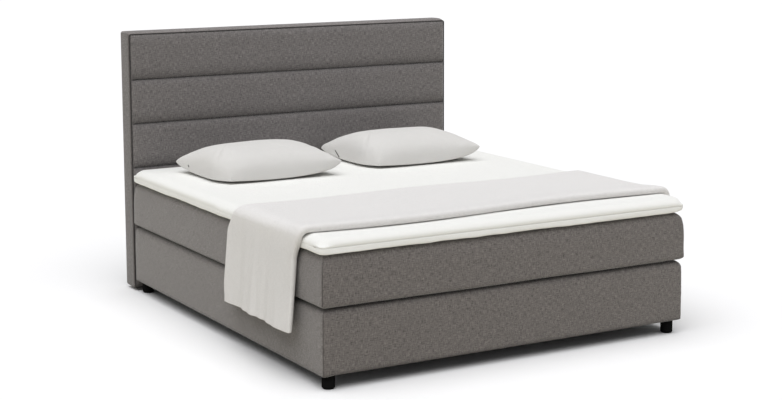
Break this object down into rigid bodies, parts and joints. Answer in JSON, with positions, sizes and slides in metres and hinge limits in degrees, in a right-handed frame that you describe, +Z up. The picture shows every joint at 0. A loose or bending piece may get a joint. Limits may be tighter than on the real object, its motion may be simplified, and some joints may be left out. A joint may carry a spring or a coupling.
{
  "type": "box spring bed",
  "caption": "Upholstered box spring bed with low black legs, sprung mattress, topper, channelled headboard, folded throw and pillows.",
  "frame": {"origin": "on the floor under the middle of the base, at the underside of the middle leg's glide", "axes": "X across the bed, with +X to the right for someone at the foot end who faces the headboard; +Y from the foot end to the headboard; +Z up"},
  "size_m": [1.9076, 2.1273, 1.285],
  "materials": {
    "upholstery": "flecked grey weave, matt",
    "welt": "dark grey cord, matt",
    "topper_cloth": "white knit, matt",
    "pillow_cloth": "pale grey weave, matt",
    "throw_cloth": "pale grey soft weave, matt",
    "ticking": "plain ticking, matt",
    "dark_cloth": "black non-woven cloth, matt",
    "felt": "pressed felt, matt",
    "foam": "open-cell foam, matt",
    "timber": "planed softwood, raw",
    "board": "fibreboard, raw",
    "leg_plastic": "black, satin",
    "steel": "bright zinc plate"
  },
  "bodies": {
    "base": {"leg_foot_left": "leg_plastic", "glide_foot_left": "felt", "leg_foot_right": "leg_plastic", "glide_foot_right": "felt", "leg_head_left": "leg_plastic", "glide_head_left": "felt", "leg_head_right": "leg_plastic", "glide_head_right": "felt", "leg_centre": "leg_plastic", "glide_centre": "felt", "base_head_rail": "timber", "base_foot_rail": "timber", "base_left_rail": "timber", "base_right_rail": "timber", "base_centre_rail": "timber", "base_slat_1": "timber", "base_slat_2": "timber", "base_slat_3": "timber", "base_slat_4": "timber", "base_slat_5": "timber", "corner_block_foot_left": "timber", "corner_block_foot_right": "timber", "corner_block_head_left": "timber", "corner_block_head_right": "timber", "base_spring_unit": "steel", "base_side_cover": "upholstery", "base_top_cloth": "dark_cloth", "base_top_foam": "foam", "base_upper_felt": "felt", "base_lower_felt": "felt", "base_dust_cloth": "dark_cloth", "headboard_left_post": "timber", "headboard_right_post": "timber", "headboard_top_rail": "timber", "headboard_middle_rail": "timber", "headboard_bottom_rail": "timber", "headboard_back_cloth": "dark_cloth", "headboard_front_board": "board", "headboard_foam": "foam", "headboard_front_pad": "upholstery", "headboard_border": "upholstery", "headboard_welt": "welt", "headboard_bolt_left_lower": "steel", "headboard_bolt_left_upper": "steel", "headboard_bolt_right_lower": "steel", "headboard_bolt_right_upper": "steel"},
    "mattress": {"mattress_side_cover": "upholstery", "mattress_top_panel": "ticking", "mattress_bottom_panel": "dark_cloth", "mattress_edge_foam": "foam", "mattress_lower_foam": "foam", "mattress_upper_foam": "foam", "mattress_pocket_springs": "ticking"},
    "topper": {"topper_upper_cover": "topper_cloth", "topper_lower_cover": "topper_cloth", "topper_zip": "topper_cloth", "topper_core": "foam"},
    "throw": {"throw": "throw_cloth"},
    "pillow_left": {"pillow_left": "pillow_cloth"},
    "pillow_right": {"pillow_right": "pillow_cloth"}
  },
  "joints": [
    {"name": "mattress_lift", "type": "slide", "parent": "base", "child": "mattress", "axis": [0, 0, 1], "range_m": [0, 0.3]},
    {"name": "topper_lift", "type": "slide", "parent": "mattress", "child": "topper", "axis": [0, 0, 1], "range_m": [0, 0.2]},
    {"name": "throw_lift", "type": "slide", "parent": "topper", "child": "throw", "axis": [0, 0, 1], "range_m": [0, 0.45]},
    {"name": "pillow_left_lift", "type": "slide", "parent": "topper", "child": "pillow_left", "axis": [0, 0, 1], "range_m": [0, 0.25]},
    {"name": "pillow_right_lift", "type": "slide", "parent": "topper", "child": "pillow_right", "axis": [0, 0, 1], "range_m": [0, 0.25]}
  ]
}
